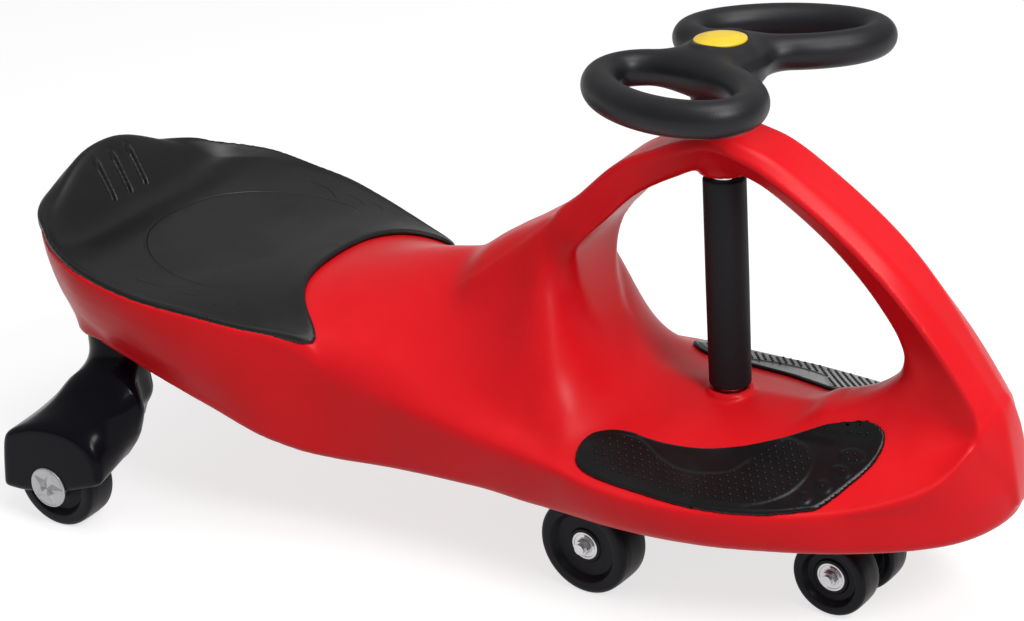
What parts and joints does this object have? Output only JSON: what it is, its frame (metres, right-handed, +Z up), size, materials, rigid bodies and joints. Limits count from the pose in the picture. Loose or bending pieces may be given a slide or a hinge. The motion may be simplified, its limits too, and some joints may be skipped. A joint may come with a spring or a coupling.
{
  "type": "wiggle car",
  "caption": "Child's ride-on wiggle car with a moulded hollow body and arch, a dished seat, foot pads, a butterfly steering wheel and a steered wheel carriage under the nose.",
  "frame": {"origin": "on the floor, under the middle of the bounding box", "axes": "+X forward to the nose, +Y to the rider's left, +Z up"},
  "size_m": [0.798, 0.3312, 0.411],
  "materials": {
    "red_plastic": "satin moulded polypropylene",
    "seat_black": "fine grained",
    "pad_black": "glossy with raised dots",
    "grip_black": "grained",
    "cap_yellow": "satin",
    "sleeve_black": "matte",
    "bush_plastic": "moulded acetal",
    "yoke_black": "powder coated",
    "column_chrome": "bright plated",
    "arm_black": "glossy",
    "cap_silver": "satin silver",
    "wheel_black": "matte polyurethane",
    "steel_parts": "zinc plated"
  },
  "bodies": {
    "body": {"body_shell": "red_plastic", "seat": "seat_black", "foot_pad_left": "pad_black", "foot_pad_right": "pad_black", "upper_bush": "bush_plastic", "lower_bush": "bush_plastic", "rear_arm_left": "arm_black", "rear_arm_right": "arm_black", "arm_bolts": "steel_parts", "rear_axle_left": "steel_parts", "rear_axle_right": "steel_parts", "rear_spacers": "steel_parts", "rear_nuts": "steel_parts", "rear_wheel_cap_left": "cap_silver", "rear_wheel_cap_right": "cap_silver"},
    "steering": {"steering_wheel": "grip_black", "steering_wheel_cap": "cap_yellow", "steering_wheel_bolt": "steel_parts", "steering_wheel_washer": "steel_parts", "steering_column": "column_chrome", "column_sleeve": "sleeve_black", "thrust_washer": "steel_parts", "front_yoke": "yoke_black", "yoke_pin": "steel_parts", "front_axle": "steel_parts", "front_spacers": "steel_parts", "front_nuts": "steel_parts", "safety_axle": "steel_parts", "safety_spacers": "steel_parts", "safety_nuts": "steel_parts"},
    "front_wheel_left": {"front_wheel_left": "wheel_black", "front_bearings_left": "steel_parts"},
    "front_wheel_right": {"front_wheel_right": "wheel_black", "front_bearings_right": "steel_parts"},
    "safety_wheel_left": {"safety_wheel_left": "wheel_black", "safety_bearings_left": "steel_parts"},
    "safety_wheel_right": {"safety_wheel_right": "wheel_black", "safety_bearings_right": "steel_parts"},
    "rear_wheel_left": {"rear_wheel_left": "wheel_black", "rear_bearings_left": "steel_parts"},
    "rear_wheel_right": {"rear_wheel_right": "wheel_black", "rear_bearings_right": "steel_parts"}
  },
  "joints": [
    {"name": "steering_turn", "type": "hinge", "parent": "body", "child": "steering", "pos_m": [0.183, 0, 0.2], "axis": [0, 0, 1], "continuous": true},
    {"name": "front_wheel_left_spin", "type": "hinge", "parent": "steering", "child": "front_wheel_left", "pos_m": [0.11945, 0.08639, 0.038], "axis": [0.1219, 0.9925, 0], "continuous": true},
    {"name": "front_wheel_right_spin", "type": "hinge", "parent": "steering", "child": "front_wheel_right", "pos_m": [0.10044, -0.06845, 0.038], "axis": [0.1219, 0.9925, 0], "continuous": true},
    {"name": "safety_wheel_left_spin", "type": "hinge", "parent": "steering", "child": "safety_wheel_left", "pos_m": [0.28184, 0.00902, 0.031], "axis": [0.1219, 0.9925, 0], "continuous": true},
    {"name": "safety_wheel_right_spin", "type": "hinge", "parent": "steering", "child": "safety_wheel_right", "pos_m": [0.27672, -0.03266, 0.031], "axis": [0.1219, 0.9925, 0], "continuous": true},
    {"name": "rear_wheel_left_spin", "type": "hinge", "parent": "body", "child": "rear_wheel_left", "pos_m": [-0.341, 0.1426, 0.038], "axis": [0, 1, 0], "continuous": true},
    {"name": "rear_wheel_right_spin", "type": "hinge", "parent": "body", "child": "rear_wheel_right", "pos_m": [-0.341, -0.1426, 0.038], "axis": [0, 1, 0], "continuous": true}
  ]
}
